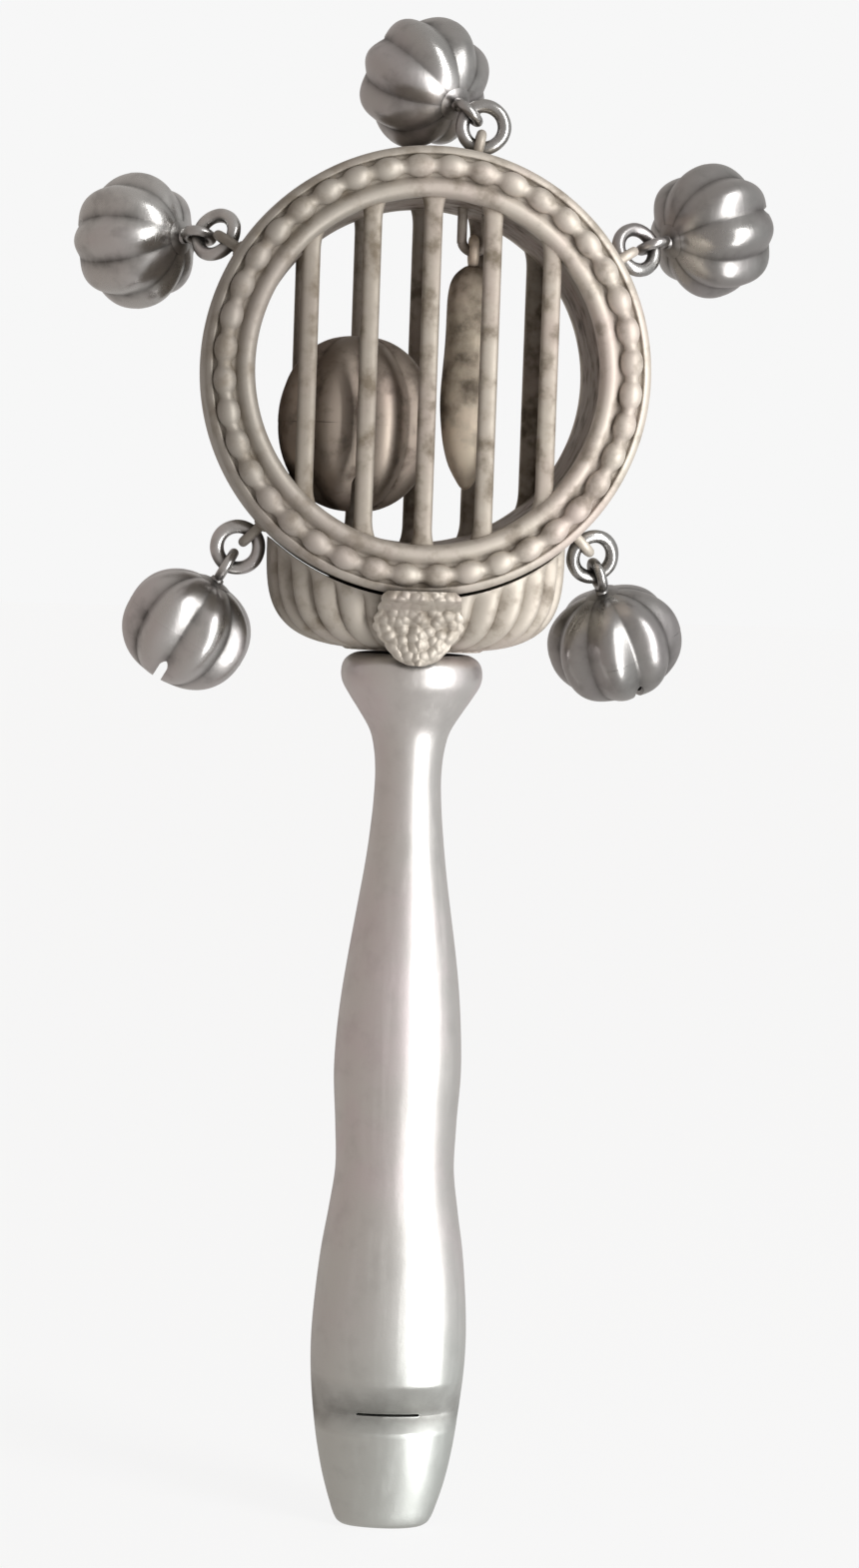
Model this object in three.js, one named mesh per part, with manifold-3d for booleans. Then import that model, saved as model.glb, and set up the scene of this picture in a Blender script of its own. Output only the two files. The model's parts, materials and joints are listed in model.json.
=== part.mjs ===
// A silver whistle rattle: a round barred cage with five jingle bells on jump rings,
// a gadrooned cup that seats the cage, and a hollow handle whose lower end is a whistle.
//
// Millimetres, +Z up. The origin is the middle of the mouthpiece's flat end, the handle
// rises along +Z, the cage's axis is parallel to Y, and the front faces -Y.

import * as THREE from 'three';
import { mergeVertices } from 'three/addons/utils/BufferGeometryUtils.js';
import Module from 'manifold-3d';

const wasm = await Module();
wasm.setup();

// ---------------------------------------------------------------- driving dimensions

const GAP = 0.25;             // clearance between pieces that are soldered or pressed together

const CAGE_Z = 116.8;         // height of the cage's axis
const CAGE_R = 22.2;          // outer radius of the cage's band
const CAGE_HALF = 10.6;       // half of the cage's depth, over its rims
const RIM_T = 2.6;            // depth of a rim
const RIM_R = 21.9;           // outer radius of a rim
const WINDOW_R = 16.9;        // radius of the opening in a rim
const BAND_T = 0.7;           // sheet thickness of the band and the liner
const ROUND_SEGMENTS = 40;

// A rim's section: its shoulder, the channel for the beads, and the lip round the window.
const RIM = {
  shoulderR: 21.3, shoulderDepth: 2.3, edgeDepth: 1.8,
  channelR: 18.5, channelDepth: 1.05,
  lipOuterR: 18.1, lipInnerR: 17.3, lipDepth: 2.1,
};

const BEAD_COUNT = 40;
const BEAD_RING_R = 19.9;     // radius of the circle that the beads lie on
const BEAD_R = 1.15;
const BEAD_NECK_R = 0.7;
const BEAD_INSET = 0.15;      // how far the beads' middles lie behind the front of the cage

const BAR_PITCH = 5.95;
const BAR_COUNT = 5;
const BAR_W = 1.8;
const BAR_T = 1.5;
const BAR_FLARE = 1.4;        // how much wider a bar is at its ends
const BAR_FLARE_LENGTH = 2.5;
const BAR_INSET = 1.4;        // from the front of the cage to the middle of a bar

const WIRE_R = 0.5;           // lugs and bell loops
const RING_WIRE_R = 0.68;     // jump rings
const RING_R = 2.1;           // mean radius of a jump ring
const LOOP_R = 1.35;          // mean radius of a lug's eye and of a bell's loop
const LUG_R = 23.15;          // distance from the cage's axis to the middle of a lug's eye

const BELL_R = 6.8;           // radius over the lobes
const BELL_HALF = 5.6;        // half of a bell's length
const BELL_WALL = 0.5;
const BELL_LOBES = 8;
const BELL_OFFSET = LOOP_R + WIRE_R + GAP + BELL_HALF;  // from a loop's middle to its bell's
const BELL_POWER = 2.2;       // how square a bell's side view is
const BELL_LOBE_DEPTH = 0.08;
const SLOT_W = 0.9;
const SLOT_START = 0.3;       // share of a bell's half at which its slots begin
const PELLET_R = 1.7;

// How each bell lies: its lug's place around the cage, how far its jump ring leans towards
// the front, how far the bell has slid round that ring, and how far it rocks forwards on
// the ring's wire. Degrees.
const BELLS = [
  { side: 'top', lug: 78, lean: -3, slide: 60, rock: -45 },
  { side: 'upper_left', lug: 148, lean: -41, slide: 29, rock: 0 },
  { side: 'lower_left', lug: 225, lean: -6, slide: 15, rock: 0 },
  { side: 'lower_right', lug: 315.5, lean: -22, slide: -25, rock: 0 },
  { side: 'upper_right', lug: 32, lean: -30, slide: -13, rock: 0 },
];

const CAGE_BELL = { x: -6.5, z: -5.2, r: 8.1, half: 8.8, wall: 0.6, pellet: 2.2 };
const DROP = { x: 4.7, hang: 13.4, length: 24.8, r: 2.75, shoulderR: 2.4, wireR: 0.5, eyeR: 1.2 };

const CUP_TOP_Z = 100.4;
const CUP_BOTTOM_Z = 89.2;
const CUP_HALF_W = 15.2;
const CUP_HALF_D = 8.6;
const CUP_CURVE = 3.7;        // how square the bowl's outline is
const CUP_LOBES = 26;
const CUP_LOBE_DEPTH = 0.035;
const CUP_OVAL_POWER = 2.5;   // how square the bowl is seen from above
const LEAF = { topZ: 95.4, tipZ: 88, halfW: 4.3, thickness: 0.9, wave: 0.08, foldZ: 93.4 };

const HANDLE_TOP_Z = 88.9;
const KNOB_R = 7.3;           // clears the widest part of the handle's top
const HANDLE_WALL = 0.9;
const HANDLE_BORE_GAP = 0.25;
const FIPPLE_LENGTH = 10.4;
const WINDWAY_Y = -0.6;       // front face of the whistle's block
const MOUTH_Z = 12.3;         // middle of the whistle's mouth
const MOUTH_H = 4.3;
const MOUTH_W = 8.4;
const MOUTH_DEPTH = 0.6;      // depth of the valley round the mouth's slit
const MOUTH_SLIT = 1.3;
const STOP_Z = 52;            // a disc here closes the top of the whistle's chamber
const STOP_T = 1.2;
const STUD_R = 1.7;
const STUD_BOTTOM_Z = 76;
const STUD_SEAT = 2.6;        // how far the stud reaches into the cup

// Half width of the handle at heights above the mouthpiece's end.
const HANDLE_OUTLINE = [
  [0, 4.4], [0.8, 4.9], [2.4, 5.5], [6.3, 6.6], [12.3, 7.45], [20.4, 7.8],
  [28.5, 7.2], [36.6, 6.0], [46.7, 6.4], [54.7, 5.9], [62.8, 4.8], [70.9, 3.7],
  [77, 3.3], [81, 4.0], [84.4, 6.1], [86.4, 7.1], [88, 6.85], [88.9, 6.0],
];

// Depth of the handle as a share of its width, from the flat mouthpiece to the round neck.
const HANDLE_DEPTH = [[0, 0.56], [10, 0.68], [20, 0.78], [40, 0.86], [70, 1], [89, 1]];

// ---------------------------------------------------------------- materials

const POLISHED = { color: 0xb9b6b1, roughness: 0.28, metalness: 1 };
const TARNISHED = { color: 0x9c9388, roughness: 0.42, metalness: 1 };
const DARK = { color: 0x7d756b, roughness: 0.5, metalness: 1 };

const rattle = new THREE.Group();

function addPiece(parent, name, geometry, finish) {
  const mesh = new THREE.Mesh(geometry, new THREE.MeshStandardMaterial(finish));
  mesh.name = name;
  parent.add(mesh);
  return mesh;
}

// ---------------------------------------------------------------- solids

const radians = THREE.MathUtils.degToRad;

function weld(geometry) {
  geometry.deleteAttribute('normal');
  geometry.deleteAttribute('uv');
  return mergeVertices(geometry, 1e-4);
}

// Turns every face outwards: a closed surface's signed volume is positive when they are.
function faceOutwards(geometry) {
  const position = geometry.getAttribute('position');
  const index = geometry.getIndex();
  const corner = [new THREE.Vector3(), new THREE.Vector3(), new THREE.Vector3()];
  let volume = 0;
  for (let i = 0; i < index.count; i += 3) {
    corner.forEach((point, k) => point.fromBufferAttribute(position, index.getX(i + k)));
    volume += corner[0].dot(corner[1].clone().cross(corner[2]));
  }
  if (volume < 0) {
    for (let i = 0; i < index.count; i += 3) {
      const swap = index.getX(i);
      index.setX(i, index.getX(i + 1));
      index.setX(i + 1, swap);
    }
  }
  return geometry;
}

function closed(geometry) {
  return faceOutwards(weld(geometry));
}

function toSolid(geometry) {
  return new wasm.Manifold(new wasm.Mesh({
    numProp: 3,
    vertProperties: Float32Array.from(geometry.getAttribute('position').array),
    triVerts: Uint32Array.from(geometry.getIndex().array),
  }));
}

function fromSolid(solid) {
  const mesh = solid.getMesh();
  const geometry = new THREE.BufferGeometry();
  geometry.setAttribute('position', new THREE.BufferAttribute(mesh.vertProperties, 3));
  geometry.setIndex(new THREE.BufferAttribute(mesh.triVerts, 1));
  return geometry;
}

function cutAway(geometry, tools) {
  return fromSolid(tools.reduce((solid, tool) => solid.subtract(toSolid(tool)), toSolid(geometry)));
}

function common(first, second) {
  return fromSolid(toSolid(first).intersect(toSolid(second)));
}

function joined(first, second) {
  return fromSolid(toSolid(first).add(toSolid(second)));
}

// A solid through a stack of outlines with equal point counts. The outlines lie across Z
// and the ends are capped, unless the stack closes on itself into a ring.
function loft(sections, ring = false) {
  const count = sections[0].length;
  const positions = sections.flatMap((section) => section.flatMap((point) => point.toArray()));
  const index = [];
  const rows = ring ? sections.length : sections.length - 1;
  for (let row = 0; row < rows; row += 1) {
    const low = row * count;
    const high = ((row + 1) % sections.length) * count;
    for (let k = 0; k < count; k += 1) {
      const next = (k + 1) % count;
      index.push(low + k, low + next, high + next, low + k, high + next, high + k);
    }
  }
  if (!ring) {
    const last = (sections.length - 1) * count;
    capFaces(sections[0]).forEach(([a, b, c]) => index.push(a, c, b));
    capFaces(sections.at(-1)).forEach(([a, b, c]) => index.push(last + a, last + b, last + c));
  }
  const geometry = new THREE.BufferGeometry();
  geometry.setAttribute('position', new THREE.Float32BufferAttribute(positions, 3));
  geometry.setIndex(index);
  return faceOutwards(geometry);
}

// The cap's triangles, wound the same way round as the outline.
function capFaces(section) {
  const flat = section.map((point) => new THREE.Vector2(point.x, point.y));
  const faces = THREE.ShapeUtils.triangulateShape(flat, []);
  return THREE.ShapeUtils.isClockWise(flat) ? faces.map(([a, b, c]) => [a, c, b]) : faces;
}

function lathe(profile, segments = ROUND_SEGMENTS) {
  const points = profile.map(([radius, height]) => new THREE.Vector2(radius, height));
  return closed(new THREE.LatheGeometry(points, segments));
}

function box(width, depth, height, x, y, z) {
  return closed(new THREE.BoxGeometry(width, depth, height)).translate(x, y, z);
}

// An upright round rod on the handle's axis.
function upright(radius, bottom, top) {
  const rod = new THREE.CylinderGeometry(radius, radius, top - bottom, 12);
  return closed(rod).rotateX(Math.PI / 2).translate(0, 0, (top + bottom) / 2);
}

function ball(radius) {
  return closed(new THREE.IcosahedronGeometry(radius, 1));
}

// A wire ring in the XY plane.
function wireRing(radius, wireRadius) {
  return closed(new THREE.TorusGeometry(radius, wireRadius, 6, 12));
}

// A round wire bent along a smooth path.
function bentWire(points, wireRadius, steps) {
  const section = new THREE.Shape().absarc(0, 0, wireRadius, 0, 2 * Math.PI);
  const path = new THREE.CatmullRomCurve3(points);
  const options = { steps, curveSegments: 3, extrudePath: path, bevelEnabled: false };
  return closed(new THREE.ExtrudeGeometry(section, options));
}

// A value read off a smooth curve through [position, value] pairs.
function curveReader(pairs) {
  const points = pairs.map(([at, value]) => new THREE.Vector3(at, value, 0));
  const samples = new THREE.CatmullRomCurve3(points, false, 'centripetal').getPoints(pairs.length * 8);
  return (at) => {
    const after = Math.max(1, samples.findIndex((sample) => sample.x >= at - 1e-6));
    const [low, high] = [samples[after - 1], samples[after]];
    return THREE.MathUtils.mapLinear(at, low.x, high.x, low.y, high.y);
  };
}

// ---------------------------------------------------------------- cage

// A rim's section as [radius, depth from its inner face].
function rimProfile() {
  return [
    [WINDOW_R, 0], [RIM_R, 0], [RIM_R, RIM.edgeDepth], [RIM.shoulderR, RIM.shoulderDepth],
    [RIM.shoulderR, RIM.channelDepth], [RIM.channelR, RIM.channelDepth],
    [RIM.channelR, RIM.lipDepth], [RIM.lipOuterR, RIM_T], [RIM.lipInnerR, RIM_T],
    [WINDOW_R, RIM.lipDepth], [WINDOW_R, 0],
  ];
}

function rim(direction) {
  const inner = CAGE_HALF - RIM_T;
  const profile = rimProfile().map(([radius, depth]) => [radius, direction * (inner + depth)]);
  return lathe(profile).translate(0, 0, CAGE_Z);
}

// A beaded wire: a ring whose thickness swells at each bead.
function beadWire(direction) {
  const sides = 5;
  const sections = [];
  for (let step = 0; step < 2 * BEAD_COUNT; step += 1) {
    const around = (step * Math.PI) / BEAD_COUNT;
    const radius = step % 2 ? BEAD_NECK_R : BEAD_R;
    sections.push(Array.from({ length: sides }, (_, side) => {
      const turn = (2 * Math.PI * side) / sides;
      const reach = BEAD_RING_R + radius * Math.cos(turn);
      return new THREE.Vector3(
        reach * Math.cos(around),
        direction * (CAGE_HALF - BEAD_INSET) + radius * Math.sin(turn),
        CAGE_Z + reach * Math.sin(around),
      );
    }));
  }
  return loft(sections, true);
}

// The band round the outside is slightly barrelled.
function band() {
  const half = CAGE_HALF - RIM_T - GAP;
  const edgeR = CAGE_R - 0.3;
  return lathe([
    [edgeR - BAND_T, -half], [edgeR, -half], [CAGE_R, -half / 2], [CAGE_R, half / 2],
    [edgeR, half], [edgeR - BAND_T, half], [CAGE_R - BAND_T, 0], [edgeR - BAND_T, -half],
  ]).translate(0, 0, CAGE_Z);
}

// The straight sleeve between the two windows.
function liner() {
  const half = CAGE_HALF - RIM_T - GAP;
  const innerR = WINDOW_R + 0.1;
  const outerR = innerR + BAND_T;
  return lathe([
    [innerR, -half], [outerR, -half], [outerR, half], [innerR, half], [innerR, -half],
  ]).translate(0, 0, CAGE_Z);
}

// A cylinder along the cage's axis, for cutting.
function cageDisc(radius) {
  const far = 2 * CAGE_HALF;
  return lathe([[0, -far], [radius, -far], [radius, far], [0, far]]).translate(0, 0, CAGE_Z);
}

// One bar: an eight-sided wire that widens at its ends, trimmed to the round window.
function bar(x, direction) {
  const sides = 8;
  const toCorner = 1 / Math.cos(Math.PI / sides);
  const reach = Math.sqrt(WINDOW_R ** 2 - x ** 2);
  const rows = [-reach, -reach + 1, -reach + 3, reach - 3, reach - 1, reach];
  const sections = rows.map((row) => {
    const nearEnd = Math.max(0, 1 - (reach - Math.abs(row)) / BAR_FLARE_LENGTH);
    const halfWidth = (BAR_W / 2) * (1 + (BAR_FLARE - 1) * nearEnd);
    return Array.from({ length: sides }, (_, side) => {
      const turn = (2 * Math.PI * (side + 0.5)) / sides;
      return new THREE.Vector3(
        x + halfWidth * Math.cos(turn) * toCorner,
        direction * (CAGE_HALF - BAR_INSET) + (BAR_T / 2) * Math.sin(turn) * toCorner,
        CAGE_Z + row,
      );
    });
  });
  return common(loft(sections), cageDisc(WINDOW_R - GAP));
}

function buildCage() {
  addPiece(rattle, 'cage_band', band(), TARNISHED);
  addPiece(rattle, 'cage_liner', liner(), DARK);
  [['front', -1], ['back', 1]].forEach(([side, direction]) => {
    addPiece(rattle, `${side}_rim`, rim(direction), TARNISHED);
    addPiece(rattle, `${side}_bead_wire`, beadWire(direction), TARNISHED);
    for (let i = 0; i < BAR_COUNT; i += 1) {
      const x = (i - (BAR_COUNT - 1) / 2) * BAR_PITCH;
      addPiece(rattle, `${side}_bar_${i + 1}`, bar(x, direction), TARNISHED);
    }
  });
}

// ---------------------------------------------------------------- bells

// Half of a lobed bell as a bowl of even wall around Y. The crown is whole and lies on the
// -Y side; the mouth lies on the +Y side and is cut by two crossed slots.
function bellHalf(radius, half, wall, isCrown) {
  const rows = 4;
  const seam = GAP / 2;
  const arc = Array.from({ length: rows + 1 }, (_, row) => radians(90 * (1 - row / rows)));
  const skin = (r, h) => arc.map((turn) => [
    r * Math.cos(turn) ** (2 / BELL_POWER),
    seam + (h - seam) * Math.sin(turn) ** (2 / BELL_POWER),
  ]);
  const outer = skin(radius, half);
  const inner = skin(radius - wall, half - wall).reverse();
  outer[0][0] = 0;
  inner.at(-1)[0] = 0;
  const bowl = lathe([...outer, ...inner], 2 * BELL_LOBES);
  const position = bowl.getAttribute('position');
  for (let i = 0; i < position.count; i += 1) {
    const [x, y, z] = [position.getX(i), position.getY(i), position.getZ(i)];
    const valley = 0.5 - 0.5 * Math.cos(BELL_LOBES * Math.atan2(z, x));
    const scale = 1 - BELL_LOBE_DEPTH * valley * (1 - (y / half) ** 4);
    position.setXYZ(i, x * scale, y, z * scale);
  }
  if (isCrown) return bowl.rotateX(Math.PI);
  const slot = (turn) => box(1.5 * radius, half, SLOT_W, 0, half * (SLOT_START + 0.5), 0).rotateY(turn);
  return cutAway(bowl, [slot(0), slot(Math.PI / 2)]);
}

// A staple soldered to the band, its eye across the ring that hangs from it.
function lug() {
  const foot = CAGE_R + GAP;
  const arc = [90, 60, 30, 0, -30, -60, -90].map((turn) => new THREE.Vector3(
    LUG_R + LOOP_R * Math.cos(radians(turn)),
    LOOP_R * Math.sin(radians(turn)),
    0,
  ));
  const first = new THREE.Vector3(foot, LOOP_R, 0);
  const last = new THREE.Vector3(foot, -LOOP_R, 0);
  return bentWire([first, ...arc, last], WIRE_R, 12);
}

// One bell with its lug and jump ring. Inside the turned groups X points away from the cage.
function addBell({ side, lug: lugTurn, lean, slide, rock }) {
  const mount = new THREE.Group();
  mount.position.set(0, 0, CAGE_Z);
  mount.rotation.y = -radians(lugTurn);
  rattle.add(mount);
  addPiece(mount, `lug_${side}`, lug(), TARNISHED);

  const link = new THREE.Group();
  link.position.x = LUG_R;
  link.rotation.z = -radians(lean);
  mount.add(link);
  const ring = wireRing(RING_R, RING_WIRE_R).rotateX(Math.PI / 2).translate(RING_R, 0, 0);
  addPiece(link, `jump_ring_${side}`, ring, POLISHED);

  const swing = new THREE.Group();
  swing.position.x = RING_R;
  swing.rotation.y = -radians(slide);
  link.add(swing);
  const bell = new THREE.Group();
  bell.position.x = RING_R;
  bell.rotation.z = -radians(rock);
  swing.add(bell);
  addPiece(bell, `bell_loop_${side}`, wireRing(LOOP_R, WIRE_R), POLISHED);
  [['crown', true], ['mouth', false]].forEach(([name, isCrown]) => {
    const shell = bellHalf(BELL_R, BELL_HALF, BELL_WALL, isCrown).rotateZ(-Math.PI / 2);
    addPiece(bell, `bell_${name}_${side}`, shell.translate(BELL_OFFSET, 0, 0), POLISHED);
  });
  addPiece(bell, `bell_pellet_${side}`, ball(PELLET_R).translate(BELL_OFFSET, 0, 0), DARK);
}

// ---------------------------------------------------------------- inside the cage

// The loose bell, its crown up and its slotted mouth down.
function buildCageBell() {
  const { x, z, r, half, wall, pellet } = CAGE_BELL;
  const group = new THREE.Group();
  group.position.set(x, 0, CAGE_Z + z);
  group.rotation.x = -Math.PI / 2;
  rattle.add(group);
  addPiece(group, 'cage_bell_crown', bellHalf(r, half, wall, true), DARK);
  addPiece(group, 'cage_bell_mouth', bellHalf(r, half, wall, false), DARK);
  addPiece(group, 'cage_bell_pellet', ball(pellet), DARK);
}

// A staple in the roof of the liner, and the drop that hangs from it by its own eye.
function buildDrop() {
  const { x, hang, length, r, shoulderR, wireR, eyeR } = DROP;
  const roof = (across) => Math.sqrt(WINDOW_R ** 2 - (x + across + wireR) ** 2) - GAP - hang;
  const hook = new THREE.Group();
  hook.position.set(x, 0, CAGE_Z + hang);
  rattle.add(hook);
  const arc = [0, 30, 60, 90, 120, 150, 180].map((turn) => new THREE.Vector3(
    eyeR * Math.cos(radians(turn)),
    0,
    -eyeR * Math.sin(radians(turn)),
  ));
  const [first, last] = [eyeR, -eyeR].map((across) => new THREE.Vector3(across, 0, roof(across)));
  addPiece(hook, 'drop_staple', bentWire([first, ...arc, last], wireR, 12), TARNISHED);

  const tip = -length;
  const top = -2 * eyeR + 0.2;
  const body = lathe([
    [0, tip], [0.7, tip + 0.5], [0.72 * r, tip + 3], [r, tip + 7], [0.96 * r, tip + 12],
    [shoulderR, top - 3.4], [0.8 * shoulderR, top - 1.4], [0.4 * shoulderR, top - 0.3], [0, top - 0.2],
  ], 12);
  const eye = wireRing(eyeR, wireR).rotateX(Math.PI / 2).rotateZ(Math.PI / 2).translate(0, 0, -eyeR);
  addPiece(hook, 'drop_clapper', joined(body.rotateX(Math.PI / 2), eye), DARK);
}

// ---------------------------------------------------------------- cup and leaf

// Share of the cup's full width and depth that it has at a height.
function cupSpread(z) {
  const fall = (CUP_TOP_Z - z) / (CUP_TOP_Z - CUP_BOTTOM_Z);
  return (1 - Math.min(fall, 0.98) ** CUP_CURVE) ** (1 / CUP_CURVE);
}

// A point on the cup: a squared oval with upright lobes around it.
function cupPoint(turn, z, lobed) {
  const [c, s] = [Math.cos(turn), Math.sin(turn)];
  const spread = Math.abs(c) ** CUP_OVAL_POWER + Math.abs(s) ** CUP_OVAL_POWER;
  const round = spread ** (-1 / CUP_OVAL_POWER);
  const lobe = 1 - (lobed ? CUP_LOBE_DEPTH * (0.5 - 0.5 * Math.cos(CUP_LOBES * turn)) : 0);
  const size = cupSpread(z) * round * lobe;
  return new THREE.Vector3(CUP_HALF_W * size * c, CUP_HALF_D * size * s, z);
}

function cup() {
  const heights = [0, 0.03, 0.1, 0.22, 0.4, 0.65, 1];
  const around = Array.from({ length: 2 * CUP_LOBES }, (_, k) => (k * Math.PI) / CUP_LOBES);
  const sections = heights.map((share) => {
    const z = CUP_BOTTOM_Z + share * (CUP_TOP_Z - CUP_BOTTOM_Z);
    return around.map((turn) => cupPoint(turn, z, true));
  });
  const socket = upright(STUD_R + GAP, CUP_BOTTOM_Z - STUD_SEAT, CUP_BOTTOM_Z + STUD_SEAT + GAP);
  return cutAway(loft(sections), [cageDisc(CAGE_R + GAP), socket]);
}

// A leaf laid over the cup's front, the foot of the rim above it and the top of the handle.
// Its sides wave, it ends in a blunt tip, and its back follows whatever it covers.
function leaf() {
  const { topZ, tipZ, halfW, thickness, wave, foldZ } = LEAF;
  const rows = 10;
  const columns = [-1, -0.5, 0, 0.5, 1];
  const sections = [];
  for (let row = 0; row <= rows; row += 1) {
    const down = row / rows;
    const z = topZ + (tipZ - topZ) * down;
    const width = halfW * Math.sqrt(1 - 0.97 * down ** 2) * (1 + wave * Math.cos(4 * Math.PI * down));
    const onCup = Math.max(CUP_HALF_D * cupSpread(z), KNOB_R);
    const onRim = THREE.MathUtils.smoothstep(z, foldZ, CAGE_Z - RIM_R - GAP);
    const back = -THREE.MathUtils.lerp(onCup, CAGE_HALF, onRim) - GAP;
    const front = (share) => back - thickness * (1 - 0.5 * share ** 2);
    sections.push([
      ...columns.map((share) => new THREE.Vector3(share * width, back, z)),
      ...columns.toReversed().map((share) => new THREE.Vector3(share * width, front(share), z)),
    ]);
  }
  return loft(sections);
}

// ---------------------------------------------------------------- handle and whistle

const handleHalfWidth = curveReader(HANDLE_OUTLINE);
const handleDepth = curveReader(HANDLE_DEPTH);

// Half of the handle's oval at a height, set in from the surface, from +X round to -X.
function handleArc(z, inset, direction, seam) {
  const steps = 10;
  const a = handleHalfWidth(z) - inset;
  const b = handleHalfWidth(z) * handleDepth(z) - inset;
  return Array.from({ length: steps + 1 }, (_, k) => {
    const turn = (Math.PI * k) / steps;
    const y = Math.max(b * Math.sin(turn), seam);
    return new THREE.Vector3(a * Math.cos(turn), direction * y, z);
  });
}

const HANDLE_ROWS = [
  0, 0.8, 2.4, 5, 8, 12, 16, 20.4, 24.5, 28.5, 32.5, 36.6, 41, 46.7, 51, 54.7, 58.8, 62.8,
  66.9, 70.9, 74, 77, 79, 81, 83, 84.6, 86, 87, 88.1, HANDLE_TOP_Z,
];

function handleShell(direction) {
  const seam = GAP / 2;
  return loft(HANDLE_ROWS.map((z) => [
    ...handleArc(z, 0, direction, seam),
    ...handleArc(z, HANDLE_WALL, direction, seam).reverse(),
  ]));
}

// The whistle's mouth: a shallow valley across the front with a slit at its bottom.
function mouthTools() {
  const reach = 20;
  const front = -handleHalfWidth(MOUTH_Z) * handleDepth(MOUTH_Z);
  const [outside, floor] = [front - 1, front + MOUTH_DEPTH];
  const valley = new THREE.Shape([
    new THREE.Vector2(outside, MOUTH_H / 2 + 0.8),
    new THREE.Vector2(outside, -MOUTH_H / 2 - 1.2),
    new THREE.Vector2(floor, -MOUTH_SLIT / 2 - 0.3),
    new THREE.Vector2(floor, MOUTH_SLIT / 2),
  ]);
  const groove = closed(new THREE.ExtrudeGeometry(valley, { depth: reach, bevelEnabled: false }));
  groove.translate(0, 0, -reach / 2).rotateX(Math.PI / 2).rotateZ(Math.PI / 2);
  const slit = box(MOUTH_W, 4, MOUTH_SLIT, 0, front + 1, MOUTH_Z - 0.2);
  return [groove.translate(0, 0, MOUTH_Z), slit];
}

function frontShell() {
  return cutAway(handleShell(-1), mouthTools());
}

// A solid that fills the handle's bore over a run of heights.
function borePlug(heights) {
  const inset = HANDLE_WALL + HANDLE_BORE_GAP;
  return loft(heights.map((z) => [
    ...handleArc(z, inset, 1, 0),
    ...handleArc(z, inset, -1, 0).reverse().slice(1, -1),
  ]));
}

// The whistle's block fills the mouthpiece but for the windway along its front.
function whistleBlock() {
  const windway = box(30, 10, 30, 0, WINDWAY_Y - 5, FIPPLE_LENGTH / 2);
  return cutAway(borePlug([0, 2.4, 5, 8, FIPPLE_LENGTH]), [windway]);
}

function buildHandle() {
  addPiece(rattle, 'handle_front_shell', frontShell(), POLISHED);
  addPiece(rattle, 'handle_back_shell', handleShell(1), POLISHED);
  addPiece(rattle, 'whistle_block', whistleBlock(), POLISHED);
  addPiece(rattle, 'chamber_stop', borePlug([STOP_Z, STOP_Z + STOP_T]), DARK);
  const stud = upright(STUD_R, STUD_BOTTOM_Z, CUP_BOTTOM_Z + STUD_SEAT);
  addPiece(rattle, 'neck_stud', stud, POLISHED);
  addPiece(rattle, 'cup_collar', cup(), TARNISHED);
  addPiece(rattle, 'leaf_ornament', leaf(), TARNISHED);
}

// ---------------------------------------------------------------- assembly

buildCage();
BELLS.forEach(addBell);
buildCageBell();
buildDrop();
buildHandle();

export default rattle;
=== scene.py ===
"""A silver whistle rattle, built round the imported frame.

The frame's own axes hold: metres, +Z up the handle, the cage's axis along Y, front towards
-Y. Shapes are worked out in millimetres and scaled when a piece is made.
"""

import json
import math

import bmesh
import bpy
import numpy as np
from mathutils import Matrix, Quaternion, Vector, noise


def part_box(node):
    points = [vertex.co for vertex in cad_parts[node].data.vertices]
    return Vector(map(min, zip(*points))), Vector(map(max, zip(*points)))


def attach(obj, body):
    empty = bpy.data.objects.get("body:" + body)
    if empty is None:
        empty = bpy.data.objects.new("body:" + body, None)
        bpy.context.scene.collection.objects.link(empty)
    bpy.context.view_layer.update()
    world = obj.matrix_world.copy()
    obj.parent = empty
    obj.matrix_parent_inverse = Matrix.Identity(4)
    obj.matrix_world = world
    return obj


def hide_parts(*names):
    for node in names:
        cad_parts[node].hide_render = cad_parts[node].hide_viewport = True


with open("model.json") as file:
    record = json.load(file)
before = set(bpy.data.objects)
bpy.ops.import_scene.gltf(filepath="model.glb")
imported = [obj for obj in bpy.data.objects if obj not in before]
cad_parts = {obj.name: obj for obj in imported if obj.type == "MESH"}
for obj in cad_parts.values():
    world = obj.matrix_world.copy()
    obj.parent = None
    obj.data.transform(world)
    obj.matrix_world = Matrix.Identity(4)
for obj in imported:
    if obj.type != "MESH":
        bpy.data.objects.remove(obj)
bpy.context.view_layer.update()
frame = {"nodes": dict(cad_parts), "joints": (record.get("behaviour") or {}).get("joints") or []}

MM = 0.001
TAU = 2 * math.pi
SIDES = ("top", "upper_left", "lower_left", "lower_right", "upper_right")
JOINTS = {joint["name"]: joint for joint in frame["joints"]}


def unit(vector):
    vector = np.array(vector, float)
    return vector / np.linalg.norm(vector)


def box_mm(node):
    return [np.array(corner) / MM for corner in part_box(node)]


def middle_mm(node):
    low, high = box_mm(node)
    return (low + high) / 2


# ---------------------------------------------------------------- sizes, in millimetres

BAND_LOW, BAND_HIGH = box_mm("cage_band")
CAGE_Z = (BAND_LOW[2] + BAND_HIGH[2]) / 2
BAND_R = (BAND_HIGH[2] - BAND_LOW[2]) / 2
RIM_LOW, RIM_HIGH = box_mm("front_rim")
RIM_R = (RIM_HIGH[0] - RIM_LOW[0]) / 2
CAGE_HALF = -RIM_LOW[1]
RIM_T = CAGE_HALF + RIM_HIGH[1]
WINDOW_R = RIM_R - 5.0
BEAD_COUNT = 40
BEAD_R = 1.15
BEAD_RING_R = RIM_R - 2.0
BAR_W = 1.8
BAR_DEPTH_Y = CAGE_HALF - 1.4

BELL_LOBES = 8
LOBE_DEPTH = 0.13
WIRE_R = 0.5
RING_WIRE_R = 0.68
RING_R = 2.1
LOOP_R = 1.35

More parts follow.
